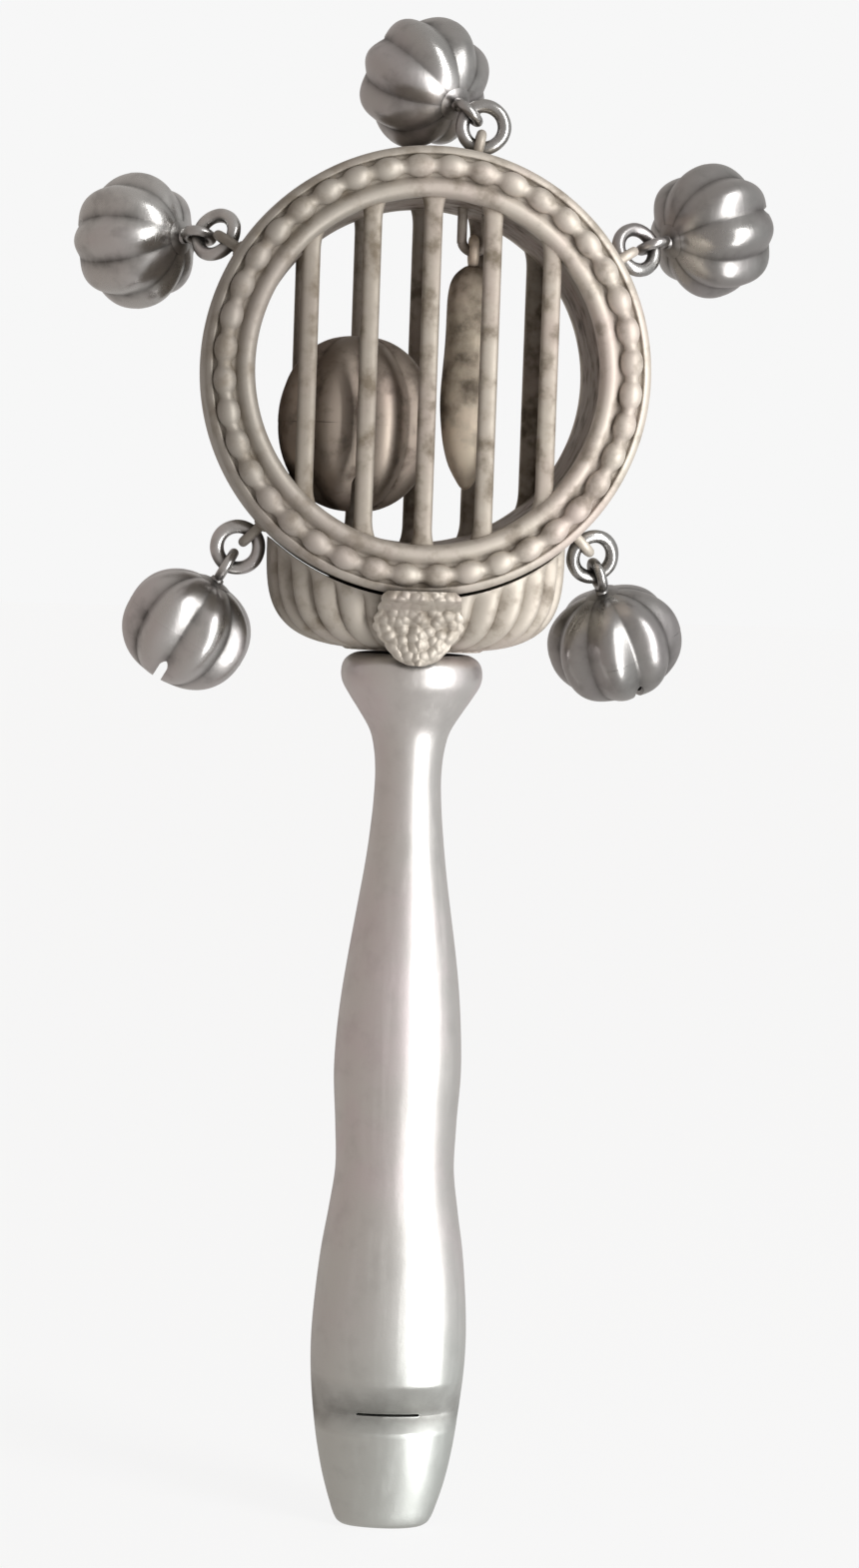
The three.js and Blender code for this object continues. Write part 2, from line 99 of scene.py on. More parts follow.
CUP_LOBES = 32

# ---------------------------------------------------------------- meshes


def grid(points, recess=0.0, close_rows=False, close_columns=True, cap=False):
    """A sheet through rows and columns of points, with each point's share of darkening: tarnish, and painted shade in
    places.
    """
    points = np.asarray(points, float)
    rows, columns = points.shape[:2]
    row = np.arange(rows if close_rows else rows - 1)
    column = np.arange(columns if close_columns else columns - 1)
    a, b = np.meshgrid(row, column, indexing="ij")
    a2, b2 = (a + 1) % rows, (b + 1) % columns
    corners = [a * columns + b, a * columns + b2, a2 * columns + b2, a2 * columns + b]
    faces = np.stack(corners, -1).reshape(-1, 4).tolist()
    verts = points.reshape(-1, 3)
    values = np.broadcast_to(recess, (rows, columns)).reshape(-1).astype(float)
    if cap:
        for end in (0, rows - 1):
            centre = len(verts)
            verts = np.vstack([verts, points[end].mean(0)])
            values = np.append(values, values[end * columns])
            first = end * columns
            faces += [[centre, first + k, first + (k + 1) % columns] for k in range(columns)]
    return verts, faces, values


def merged(*shapes):
    verts, faces, values, start = [], [], [], 0
    for points, quads, recess in shapes:
        verts.append(points)
        values.append(recess)
        faces += [[start + i for i in face] for face in quads]
        start += len(points)
    return np.vstack(verts), faces, np.concatenate(values)


def placed(shape, axes, origin):
    """A shape whose local X, Y and Z lie along the three axes, moved to the origin."""
    points, faces, recess = shape
    return points @ np.array(axes, float) + np.array(origin, float), faces, recess


def revolved(profile, count, recess=0.0):
    """Turns a [radius, height] profile round Z."""
    profile = np.asarray(profile, float)
    turn = np.linspace(0, TAU, count, endpoint=False)
    radius, height = profile[:, :1], profile[:, 1:]
    points = np.stack(
        [radius * np.cos(turn), radius * np.sin(turn), np.repeat(height, count, 1)], -1
    )
    return grid(points, recess)


def ring_profile(profile, count, recess=0.0):
    """A closed [radius, height] section turned round Z into a solid ring."""
    profile = np.asarray(profile, float)
    turn = np.linspace(0, TAU, count, endpoint=False)
    radius, height = profile[:, :1], profile[:, 1:]
    points = np.stack(
        [radius * np.cos(turn), radius * np.sin(turn), np.repeat(height, count, 1)], -1
    )
    values = np.asarray(recess, float)
    return grid(points, values[:, None] if values.ndim else values, close_rows=True)


def smooth_path(points, count):
    """Points evenly spread along a Catmull-Rom curve."""
    points = np.asarray(points, float)
    points = np.vstack([2 * points[0] - points[1], points, 2 * points[-1] - points[-2]])
    spans = len(points) - 3
    at = np.linspace(0, spans, count)
    k = np.minimum(at.astype(int), spans - 1)
    t = (at - k)[:, None]
    p0, p1, p2, p3 = points[k], points[k + 1], points[k + 2], points[k + 3]
    return 0.5 * (
        2 * p1
        + (p2 - p0) * t
        + (2 * p0 - 5 * p1 + 4 * p2 - p3) * t**2
        + (3 * p1 - p0 - 3 * p2 + p3) * t**3
    )


def wire(path, radius, sides=14):
    """A round wire along a path."""
    path = np.asarray(path, float)
    ahead = np.gradient(path, axis=0)
    ahead /= np.linalg.norm(ahead, axis=1)[:, None]
    normal = np.cross(ahead[0], [0.31, 0.52, 0.79])
    turn = np.linspace(0, TAU, sides, endpoint=False)
    rows = []
    for centre, direction in zip(path, ahead):
        normal = unit(normal - direction * np.dot(normal, direction))
        side = np.cross(direction, normal)
        rows.append(centre + radius * (np.outer(np.cos(turn), normal) + np.outer(np.sin(turn), side)))
    return grid(np.array(rows), cap=True)


def torus(radius, wire_radius, count=96, sides=16):
    """A wire ring round Z."""
    turn = np.linspace(0, TAU, sides, endpoint=False)
    section = np.stack([radius + wire_radius * np.cos(turn), wire_radius * np.sin(turn)], -1)
    return ring_profile(section, count)


def dented(points, size, depth, seed):
    """Moves points by slow noise, as handling leaves soft metal."""
    moved = points.copy()
    offset = Vector((seed * 7.3, seed * 3.1, seed * 5.7))
    for k, point in enumerate(points):
        moved[k] += depth * np.array(noise.noise_vector(Vector(point) / size + offset))
    return moved


def piece(name, shape, material, body, nodes, sharp=38):
    points, faces, recess = shape
    mesh = bpy.data.meshes.new(name)
    mesh.from_pydata((points * MM).tolist(), [], faces)
    mesh.attributes.new("recess", "FLOAT", "POINT").data.foreach_set("value", recess)
    work = bmesh.new()
    work.from_mesh(mesh)
    bmesh.ops.remove_doubles(work, verts=work.verts, dist=2e-6)
    bmesh.ops.recalc_face_normals(work, faces=work.faces)
    work.to_mesh(mesh)
    work.free()
    mesh.shade_smooth()
    mesh.set_sharp_from_angle(angle=math.radians(sharp))
    mesh.materials.append(material)
    obj = bpy.data.objects.new(name, mesh)
    bpy.context.scene.collection.objects.link(obj)
    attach(obj, body)
    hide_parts(*nodes)
    return obj


def cut(obj, cutter_shape):
    """Cuts a closed shape out of a piece."""
    points, faces, _ = cutter_shape
    mesh = bpy.data.meshes.new("cutter")
    mesh.from_pydata((points * MM).tolist(), [], faces)
    work = bmesh.new()
    work.from_mesh(mesh)
    bmesh.ops.remove_doubles(work, verts=work.verts, dist=2e-6)
    bmesh.ops.recalc_face_normals(work, faces=work.faces)
    work.to_mesh(mesh)
    work.free()
    cutter = bpy.data.objects.new("cutter", mesh)
    bpy.context.scene.collection.objects.link(cutter)
    modifier = obj.modifiers.new("cut", "BOOLEAN")
    modifier.operation = "DIFFERENCE"
    modifier.solver = "EXACT"
    modifier.object = cutter
    bpy.context.view_layer.update()
    result = bpy.data.meshes.new_from_object(obj.evaluated_get(bpy.context.evaluated_depsgraph_get()))
    obj.modifiers.remove(modifier)
    old = obj.data
    obj.data = result
    bpy.data.meshes.remove(old)
    bpy.data.objects.remove(cutter)
    bpy.data.meshes.remove(mesh)
    obj.data.shade_smooth()
    obj.data.set_sharp_from_angle(angle=math.radians(38))


# ---------------------------------------------------------------- materials


def silver(name, bright, tarnish_shade_colour, roughness, tarnish_and_shade, clouds, side_shade=(0.0, 0.0), metal=1.0, cool=False):
    """Aged silver: polished where hands reach, brown with tarnish where they don't, with fine wear; crevices, gaps
    between parts and undersides of overhangs also get painted shade.

    The pair of side amounts darkens the metal at the left and at the right of the rattle with painted shade, and
    cool metal loses its warmth towards the mouthpiece.
    """
    material = bpy.data.materials.new(name)
    material.use_nodes = True
    tree = material.node_tree
    nodes, links = tree.nodes, tree.links
    shader = nodes["Principled BSDF"]
    place = nodes.new("ShaderNodeTexCoord")

    def noise_node(scale, detail, stretch=None, rough=0.55):
        node = nodes.new("ShaderNodeTexNoise")
        node.inputs["Scale"].default_value = scale
        node.inputs["Detail"].default_value = detail
        node.inputs["Roughness"].default_value = rough
        source = place.outputs["Object"]
        if stretch:
            mapping = nodes.new("ShaderNodeMapping")
            mapping.inputs["Scale"].default_value = stretch
            links.new(source, mapping.inputs["Vector"])
            source = mapping.outputs["Vector"]
        links.new(source, node.inputs["Vector"])
        return node.outputs["Fac"]

    def maths(kind, a, b, clamp=False):
        node = nodes.new("ShaderNodeMath")
        node.operation = kind
        node.use_clamp = clamp
        for socket, value in zip(node.inputs, (a, b)):
            if isinstance(value, (int, float)):
                socket.default_value = value
            else:
                links.new(value, socket)
        return node.outputs[0]

    def fitted(value, low, high, to_low=0.0, to_high=1.0):
        node = nodes.new("ShaderNodeMapRange")
        node.interpolation_type = "SMOOTHSTEP"
        for key, number in zip(("From Min", "From Max", "To Min", "To Max"), (low, high, to_low, to_high)):
            node.inputs[key].default_value = number
        links.new(value, node.inputs["Value"])
        return node.outputs["Result"]

    def mixed(share, a, b):
        node = nodes.new("ShaderNodeMix")
        node.data_type = "RGBA"
        for key, value in ((0, share), (6, a), (7, b)):
            if isinstance(value, tuple):
                node.inputs[key].default_value = (*value, 1)
            else:
                links.new(value, node.inputs[key])
        return node.outputs[2]

    slow = noise_node(95, 4)
    patches = noise_node(420, 5)
    grain = noise_node(5200, 3)
    scratches = noise_node(900, 4, (1, 1, 0.05), 0.7)
    cross_scratches = noise_node(1300, 3, (0.08, 1, 1), 0.7)

    recess = nodes.new("ShaderNodeAttribute")
    recess.attribute_name = "recess"
    # Ambient occlusion darkens crevices, gaps between parts and metal under overhangs: painted shade, together with
    # tarnish the real silver keeps in its hollows.
    hidden = nodes.new("ShaderNodeAmbientOcclusion")
    hidden.samples = 6
    hidden.inputs["Distance"].default_value = 1.6 * MM
    crevice_shade_and_tarnish = fitted(hidden.outputs["AO"], 0.25, 0.95, 1.0, 0.0)
    dark = maths("ADD", maths("MULTIPLY", crevice_shade_and_tarnish, 0.75), maths("MULTIPLY", recess.outputs["Fac"], 0.75))
    dark = maths("ADD", maths("MULTIPLY", dark, tarnish_and_shade), fitted(patches, 0.45, 0.75, 0.0, clouds))
    dark = maths("MULTIPLY", dark, fitted(patches, 0.2, 0.6, 0.65, 1.1), True)

    toned = mixed(fitted(slow, 0.42, 0.68, 0.0, 0.5), bright, tuple(b * t for b, t in zip(bright, (1.0, 0.89, 0.95))))
    # Painted shade: the colour is mixed darker towards one side of the rattle, across its width.
    if any(side_shade):
        across = nodes.new("ShaderNodeSeparateXYZ")
        links.new(place.outputs["Object"], across.inputs[0])
        share = fitted(across.outputs["X"], -0.024, 0.018, *side_shade)
        toned = mixed(share, toned, tuple(0.42 * b for b in bright))
    if cool:
        upwards = nodes.new("ShaderNodeSeparateXYZ")
        links.new(place.outputs["Object"], upwards.inputs[0])
        share = fitted(upwards.outputs["Z"], 0.006, 0.04, 1.0, 0.0)
        toned = mixed(share, toned, tuple(b * t for b, t in zip(bright, (0.9, 0.96, 0.95))))
    # The brown colour mixed in here is both tarnish and the colour of the painted shade.
    links.new(mixed(dark, toned, tarnish_shade_colour), shader.inputs["Base Color"])
    gloss = maths("ADD", fitted(slow, 0.3, 0.7, roughness - 0.04, roughness + 0.06), maths("MULTIPLY", dark, 0.22))
    gloss = maths("ADD", gloss, fitted(scratches, 0.45, 0.7, 0.0, 0.08))
    links.new(gloss, shader.inputs["Roughness"])
    shader.inputs["Metallic"].default_value = metal

    relief = maths("ADD", maths("MULTIPLY", grain, 0.25), maths("MULTIPLY", patches, 0.5))
    relief = maths("ADD", relief, maths("MULTIPLY", maths("ADD", scratches, cross_scratches), 0.12))
    bump = nodes.new("ShaderNodeBump")
    bump.inputs["Strength"].default_value = 0.35
    bump.inputs["Distance"].default_value = 0.08 * MM
    links.new(relief, bump.inputs["Height"])
    links.new(bump.outputs["Normal"], shader.inputs["Normal"])
    return material


HANDLE = silver("handle_silver", (0.68, 0.66, 0.64), (0.2, 0.19, 0.18), 0.38, 0.5, 0.1, cool=True)
# Painted shade: the bells and jump rings darken towards the right, the cage towards the left.
BELL = silver("bell_silver", (0.56, 0.55, 0.535), (0.08, 0.075, 0.07), 0.27, 0.8, 0.25, (0.0, 0.55))
CAGE = silver("cage_silver", (0.51, 0.465, 0.405), (0.17, 0.14, 0.105), 0.56, 0.5, 0.6, (0.85, 0.0), 0.55)
DARK = silver("dark_silver", (0.33, 0.28, 0.235), (0.08, 0.06, 0.045), 0.5, 0.8, 0.6, metal=0.8)
# The drop's light cream colour is what shows in its painted highlight, low down.
DROP = silver("drop_silver", (0.85, 0.75, 0.6), (0.12, 0.095, 0.07), 0.5, 0.8, 0.3, metal=0.6)

# ---------------------------------------------------------------- cage

# The cage's parts are turned round Z and then laid along Y: local X stays, local Z goes to
# -Y on the front side and +Y on the back, local Y goes up.
CENTRE = (0, 0, CAGE_Z)
FACING = {"front": [(1, 0, 0), (0, 0, 1), (0, -1, 0)], "back": [(-1, 0, 0), (0, 0, 1), (0, 1, 0)]}


def rounded(profile, radius, steps=4):
    """A closed section with its corners rounded off."""
    profile = np.asarray(profile, float)
    result = []
    for k, corner in enumerate(profile):
        before, after = profile[k - 1] - corner, profile[(k + 1) % len(profile)] - corner
        reach = min(radius, np.linalg.norm(before) * 0.45, np.linalg.norm(after) * 0.45)
        start, end = corner + unit(before) * reach, corner + unit(after) * reach
        for t in np.linspace(0, 1, steps):
            result.append((1 - t) ** 2 * start + 2 * t * (1 - t) * corner + t**2 * end)
    return np.array(result)


def rim_shape():
    """A rim: smooth shoulder, sunk channel for the beads, rounded lip round the window."""
    base = CAGE_HALF - RIM_T
    section = [
        (WINDOW_R, base), (RIM_R, base), (RIM_R, CAGE_HALF - 1.1), (RIM_R - 0.25, CAGE_HALF - 0.55),
        (RIM_R - 0.8, CAGE_HALF - 0.3), (RIM_R - 0.95, CAGE_HALF - 0.65), (RIM_R - 3.05, CAGE_HALF - 0.65),
        (RIM_R - 3.3, CAGE_HALF - 0.4), (RIM_R - 3.8, CAGE_HALF), (RIM_R - 4.5, CAGE_HALF - 0.05),
        (WINDOW_R, CAGE_HALF - 0.7),
    ]
    section = rounded(section, 0.34)
    in_channel = (np.abs(section[:, 0] - BEAD_RING_R) < 1.1) & (section[:, 1] < CAGE_HALF - 0.5)
    return ring_profile(section, 200, np.where(in_channel, 0.3, 0.0))


def bead_shape():
    """A beaded wire: round beads with short necks between them."""
    steps = 14
    at = np.arange(BEAD_COUNT * steps) / steps
    share = 2 * (at % 1) - 1
    radius = np.maximum(BEAD_R * np.sqrt(np.maximum(1 - share**2 / 1.06, 0)), 0.7)
    sides = 14
    turn = np.linspace(0, TAU, sides, endpoint=False)
    around = at * TAU / BEAD_COUNT
    # The beads are as long round the ring as their pitch.
    reach = BEAD_RING_R + radius[:, None] * np.cos(turn)
    height = CAGE_HALF - 0.5 + radius[:, None] * np.sin(turn)
    points = np.stack([reach * np.cos(around)[:, None], reach * np.sin(around)[:, None], height], -1)
    neck = np.repeat(0.35 * np.clip(share**4, 0, 1)[:, None], sides, 1)
    return grid(points, neck, close_rows=True)


def bar_shape(x):
    """A bar whose ends spread in fillets on the rim."""
    reach = math.sqrt(WINDOW_R**2 - (abs(x) - 1.2) ** 2) + 0.4 if x else WINDOW_R + 0.5
    count, sides = 60, 24
    height = reach * np.sin(np.linspace(-math.pi / 2, math.pi / 2, count))
    near = np.clip(1 - (reach - np.abs(height)) / 2.4, 0, 1)
    half = BAR_W / 2 * (1 + 0.55 * near**2.4)
    turn = np.linspace(0, TAU, sides, endpoint=False)
    flat = 1.35
    across = np.sign(np.cos(turn)) * np.abs(np.cos(turn)) ** (1 / flat)
    front = np.sign(np.sin(turn)) * np.abs(np.sin(turn)) ** (1 / flat)
    points = np.stack(
        [
            x + half[:, None] * across,
            np.repeat(height[:, None], sides, 1),
            BAR_DEPTH_Y + 0.75 * np.repeat(front[None, :], count, 0) - 0.35 * (near**2)[:, None],
        ],
        -1,
    )
    return grid(points, np.repeat((1.05 - 0.2 * near**2)[:, None], sides, 1), cap=True)


for side, axes in FACING.items():
    piece(f"{side}_rim_fine", placed(rim_shape(), axes, CENTRE), CAGE, "rattle_frame", [f"{side}_rim"])
    piece(
        f"{side}_bead_wire_fine", placed(bead_shape(), axes, CENTRE), CAGE,
        "rattle_frame", [f"{side}_bead_wire"],
    )
    for number in range(1, 6):
        node = f"{side}_bar_{number}"
        x = middle_mm(node)[0] * axes[0][0]
        piece(f"{node}_fine", placed(bar_shape(x), axes, CENTRE), CAGE, "rattle_frame", [node])


def band_shape():
    half = CAGE_HALF - RIM_T - 0.02
    across = np.linspace(-half, half, 15)
    outer = BAND_R - 0.3 * (np.abs(across) / half) ** 2.5
    inner = outer - 0.7
    section = np.vstack([np.stack([outer, across], -1), np.stack([inner, across], -1)[::-1]])
    return ring_profile(section, 200)


def liner_shape():
    half = CAGE_HALF - RIM_T + 0.02
    low, high = WINDOW_R + 0.05, WINDOW_R + 0.8
    across = np.linspace(-half, half, 9)
    section = np.vstack([np.stack([0 * across + high, across], -1), np.stack([0 * across + low, across], -1)[::-1]])
    return ring_profile(section, 200, 0.35)


piece(
    "cage_band_fine", placed(band_shape(), FACING["front"], CENTRE), CAGE,
    "rattle_frame", ["cage_band"],
)
piece(
    "cage_liner_fine", placed(liner_shape(), FACING["front"], CENTRE), DARK,
    "rattle_frame", ["cage_liner"],
)

# ---------------------------------------------------------------- bells


def bell_half(radius, half, wall, is_crown, seed):
    """Half a lobed bell round Z as a bowl of even wall; the crown lies on the -Z side."""
    rows, count = 30, BELL_LOBES * 22
    power = 2.2
    seam = -0.03
    angle = np.linspace(0, math.pi / 2, rows)
    turn = np.linspace(0, TAU, count, endpoint=False)

    def skin(r, h, depth):
        out = r * np.cos(angle) ** (2 / power)
        up = seam + (h - seam) * np.sin(angle) ** (2 / power)
        fade = 1 - (up / h) ** 14
        t = (turn * BELL_LOBES / TAU) % 1 * 2 - 1
        scale = 1 - depth * fade[:, None] * (0.35 * t**2 + 0.325 * (1 - np.cos(math.pi * t)))[None, :]
        reach = out[:, None] * scale
        return np.stack([reach * np.cos(turn), reach * np.sin(turn), np.repeat(up[:, None], count, 1)], -1)

    t = (turn * BELL_LOBES / TAU) % 1 * 2 - 1
    valley = np.repeat((np.abs(t) ** 4)[None, :], rows, 0)
    # The crown's edge laps just over the mouth's.
    outer = skin(radius + (0.025 if is_crown else 0), half, LOBE_DEPTH)
    inner = skin(radius - wall, half - wall, LOBE_DEPTH)[::-1]
    points = np.vstack([inner, outer])
    recess = np.vstack([np.ones_like(valley), valley])
    shape = grid(points, recess)
    shape = (dented(shape[0], 5.0, 0.12, seed), shape[1], shape[2])
    if is_crown:
        return shape[0] * (1, 1, -1), shape[1], shape[2]
    return shape


def slot_shape(length, width, half):
    """A straight cutter for one of a bell's slots, with round ends."""
    turn = np.linspace(-math.pi / 2, math.pi / 2, 9)
    end = np.stack([length / 2 + width / 2 * np.cos(turn), width / 2 * np.sin(turn)], -1)
    outline = np.vstack([end, -end])
    rows = [np.column_stack([outline, np.full(len(outline), z)]) for z in (half * 0.5, half * 1.5)]
    return grid(np.array(rows), cap=True)


def slots(obj, radius, half, axes, origin):
    """Two crossed slots over the mouth, ending in small round holes."""
    for turn in (0, math.pi / 2):
        c, s = math.cos(turn), math.sin(turn)
        local = np.array([(c, s, 0), (-s, c, 0), (0, 0, 1)]) @ np.array(axes)
        cut(obj, placed(slot_shape(1.36 * radius, 0.9, half), local, origin))


def bell_pieces(prefix, suffix, radius, half, wall, axes, origin, body, material, seed):
    for name, is_crown in (("crown", True), ("mouth", False)):
        node = f"{prefix}_{name}{suffix}"
        shape = placed(bell_half(radius, half, wall, is_crown, seed), axes, origin)
        obj = piece(f"{node}_fine", shape, material, body, [node], sharp=50)
        if not is_crown:
            slots(obj, radius, half, axes, origin)


def pellet_shape(radius, seed):
    """A rough cast ball."""
    angle = np.linspace(-math.pi / 2, math.pi / 2, 20)
    profile = np.stack([radius * np.cos(angle), radius * np.sin(angle)], -1)
    points, faces, recess = revolved(profile, 28, 0.5)
    return dented(points, radius, 0.12 * radius, seed), faces, recess


for seed, side in enumerate(SIDES, 1):
    flap, slide = JOINTS[f"ring_flap_{side}"], JOINTS[f"bell_slide_{side}"]
    lug_at, ring_at = np.array(flap["pos_m"]) / MM, np.array(slide["pos_m"]) / MM
    outwards = unit(lug_at - np.array(CENTRE))
    normal = unit(slide["axis"])
    bell_at = middle_mm(f"bell_pellet_{side}")
    along = unit(JOINTS[f"pellet_roll_{side}"]["axis"])
    tangent_way = unit(np.cross(normal, along))
    bell_axes = [tangent_way, np.cross(along, tangent_way), along]
    bell_half_length = 5.6
    bell_radius = 6.8

    # The lug: a wire staple with its feet spread on small round pads.
    tangent = unit(flap["axis"])
    base = BAND_R - np.linalg.norm(lug_at - np.array(CENTRE)) - 0.35
    turn = np.radians(np.linspace(90, -90, 13))
    eye = np.stack([LOOP_R * np.cos(turn), LOOP_R * np.sin(turn), 0 * turn], -1)
    path = np.vstack([[base, LOOP_R, 0], [base / 2, LOOP_R, 0], eye, [base / 2, -LOOP_R, 0], [base, -LOOP_R, 0]])
    staple = wire(smooth_path(path, 70), WIRE_R)
    pad = revolved([(0, 0.42), (0.62, 0.34), (0.85, 0.14), (0.95, -0.1), (0, -0.1)], 28, 0.4)
    pads = [placed(pad, [(0, 1, 0), (0, 0, 1), (1, 0, 0)], (base + 0.15, y, 0)) for y in (LOOP_R, -LOOP_R)]
    lug_axes = [outwards, (0, 1, 0), np.cross(outwards, (0, 1, 0))]
    piece(
        f"lug_{side}_fine", placed(merged(staple, *pads), lug_axes, lug_at), CAGE,
        "rattle_frame", [f"lug_{side}"],
    )

    # The jump ring, its ends butted together.
    ring_axes = [unit(np.cross(normal, outwards)), np.cross(normal, unit(np.cross(normal, outwards))), normal]
    ring = torus(RING_R, RING_WIRE_R)
    ring = (dented(ring[0], 2.0, 0.07, seed), ring[1], ring[2])
    piece(
        f"jump_ring_{side}_fine", placed(ring, ring_axes, ring_at), BELL,
        f"jump_ring_{side}", [f"jump_ring_{side}"],
    )

    # The bell's loop on its collar.
    loop_local_z = -(bell_half_length + 0.25 + WIRE_R + LOOP_R)
    loop = placed(torus(LOOP_R, WIRE_R), [(0, 0, 1), (0, 1, 0), (1, 0, 0)], (0, 0, loop_local_z))
    top = -bell_half_length
    collar = revolved(
        [(0, top - 0.55), (0.62, top - 0.5), (0.72, top - 0.2), (1.3, top - 0.08), (1.75, top + 0.1), (1.6, top + 0.4), (0, top + 0.4)],
        36, 0.3,
    )
    piece(
        f"bell_loop_{side}_fine", placed(merged(loop, collar), bell_axes, bell_at), BELL,
        f"bell_{side}", [f"bell_loop_{side}"],
    )
    bell_pieces(
        "bell", f"_{side}", bell_radius, bell_half_length, 0.5, bell_axes, bell_at,
        f"bell_{side}", BELL, seed,
    )
    piece(
        f"bell_pellet_{side}_fine", placed(pellet_shape(1.7, seed), bell_axes, bell_at), DARK,
        f"pellet_{side}", [f"bell_pellet_{side}"],
    )

# ---------------------------------------------------------------- inside the cage

cage_bell_at = middle_mm("cage_bell_pellet")
DOWN_AXES = [(1, 0, 0), (0, -1, 0), (0, 0, -1)]
crown_low, crown_high = box_mm("cage_bell_crown")
bell_pieces(
    "cage_bell", "", 8.1, crown_high[2] - cage_bell_at[2], 0.6, DOWN_AXES, cage_bell_at,
    "cage_bell", DARK, 9,
)
piece(
    "cage_bell_pellet_fine", placed(pellet_shape(2.2, 11), DOWN_AXES, cage_bell_at), DARK,
    "cage_bell_pellet", ["cage_bell_pellet"],
)

drop_low, drop_high = box_mm("drop_clapper")
staple_low, staple_high = box_mm("drop_staple")
drop_x = (staple_low[0] + staple_high[0]) / 2
STAPLE_R, STAPLE_WIRE = 1.2, 0.5
hook_z = staple_low[2] + STAPLE_R + STAPLE_WIRE
turn = np.radians(np.linspace(0, 180, 13))
arc = np.stack([STAPLE_R * np.cos(turn), 0 * turn, -STAPLE_R * np.sin(turn)], -1)
roofs = [math.sqrt((WINDOW_R + 0.1) ** 2 - (drop_x + x) ** 2) + CAGE_Z - hook_z for x in (STAPLE_R, -STAPLE_R)]
path = np.vstack([[STAPLE_R, 0, roofs[0]], arc, [-STAPLE_R, 0, roofs[1]]])
piece(
    "drop_staple_fine", placed(wire(smooth_path(path, 70), STAPLE_WIRE), np.eye(3), (drop_x, 0, hook_z)), CAGE,
    "rattle_frame", ["drop_staple"],
)

tip = drop_low[2] - hook_z
drop_profile = smooth_path(
    [(0.02, tip, 0), (0.75, tip + 0.6, 0), (1.95, tip + 3, 0), (2.75, tip + 7, 0), (2.65, tip + 12, 0),
     (2.5, tip + 16, 0), (2.4, -5.6, 0), (1.95, -3.8, 0), (0.95, -2.75, 0), (0.02, -2.45, 0)],
    80,
)[:, :2]
# Painted highlight: the drop is left light low down and darkens towards its top.
painted_highlight_falloff = np.clip((drop_profile[:, 1] - tip - 4.0) / 6.0, 0, 1)
drop = revolved(drop_profile, 48, painted_highlight_falloff[:, None])
drop = (dented(drop[0], 4.0, 0.12, 21), drop[1], drop[2])
eye = placed(torus(STAPLE_R, STAPLE_WIRE), [(0, 1, 0), (0, 0, 1), (1, 0, 0)], (0, 0, -STAPLE_R))
piece(
    "drop_clapper_fine", placed(merged(drop, eye), np.eye(3), (drop_x, 0, hook_z)), DROP,
    "drop", ["drop_clapper"],
)

# ---------------------------------------------------------------- cup and leaf

CUP_LOW, CUP_HIGH = box_mm("cup_collar")
CUP_BOTTOM = CUP_LOW[2]
CUP_TOP = 100.4
CUP_HALF_W = CUP_HIGH[0] - 0.25
CUP_HALF_D = CUP_HIGH[1]


def cup_size(z):
    fall = np.clip((CUP_TOP - z) / (CUP_TOP - CUP_BOTTOM), 0, 0.985)
    return (1 - fall**3.7) ** (1 / 3.7)


def cup_shape():
    """A gadrooned bowl whose mouth follows the cage."""
    count, rows = CUP_LOBES * 14, 56
    turn = np.linspace(0, TAU, count, endpoint=False)
    share = np.linspace(0, 1, rows)
    seat = BAND_R + 0.08
    points, recess = [], []
    t = (turn * CUP_LOBES / TAU) % 1 * 2 - 1
    oval = (np.abs(np.cos(turn)) ** 2.5 + np.abs(np.sin(turn)) ** 2.5) ** (-1 / 2.5)

    def at(z, inset, depth):
        size = cup_size(z) * oval
        lobe = 1 - depth * t**2
        return np.stack(
            [(CUP_HALF_W * size * lobe - inset) * np.cos(turn), (CUP_HALF_D * size * lobe - inset) * np.sin(turn), z], -1
        )

    def brim(x):
        return CAGE_Z - np.sqrt(np.maximum(seat**2 - x**2, 1.0))

    edge = np.minimum(brim(at(np.full(count, 96.0), 0, 0)[:, 0]), CUP_TOP)
    for s in share:
        z = CUP_BOTTOM + (edge - CUP_BOTTOM) * s
        fade = 1 - s**12
        points.append(at(z, 0, 0.07 * fade))
        recess.append((0.2 + 0.8 * t**2) * fade)
    for inset in (0.5, 2.0, 4.0, 6.0):
        ring = at(edge, inset, 0)
        ring[:, 2] = np.minimum(brim(ring[:, 0]), edge)
        points.append(ring)
        recess.append(np.full(count, 0.8))
    points.append(np.column_stack([0.02 * np.cos(turn), 0.02 * np.sin(turn), np.full(count, CAGE_Z - seat)]))
    recess.append(np.ones(count))
    return grid(np.array(points), np.array(recess), cap=True)


piece("cup_collar_fine", cup_shape(), CAGE, "rattle_frame", ["cup_collar"])

LEAF_LOW, LEAF_HIGH = box_mm("leaf_ornament")
RIM_FOOT = CAGE_Z - RIM_R - 0.25


def leaf_back(z):
    """How far forward the leaf's back lies: over the cup, then over the foot of the rim."""
    on_cup = np.maximum(CUP_HALF_D * cup_size(z), 7.35)
    t = np.clip((z - 93.4) / (RIM_FOOT - 93.4), 0, 1)
    on_rim = t * t * (3 - 2 * t)
    return -(on_cup + (CAGE_HALF - on_cup) * on_rim) - 0.2


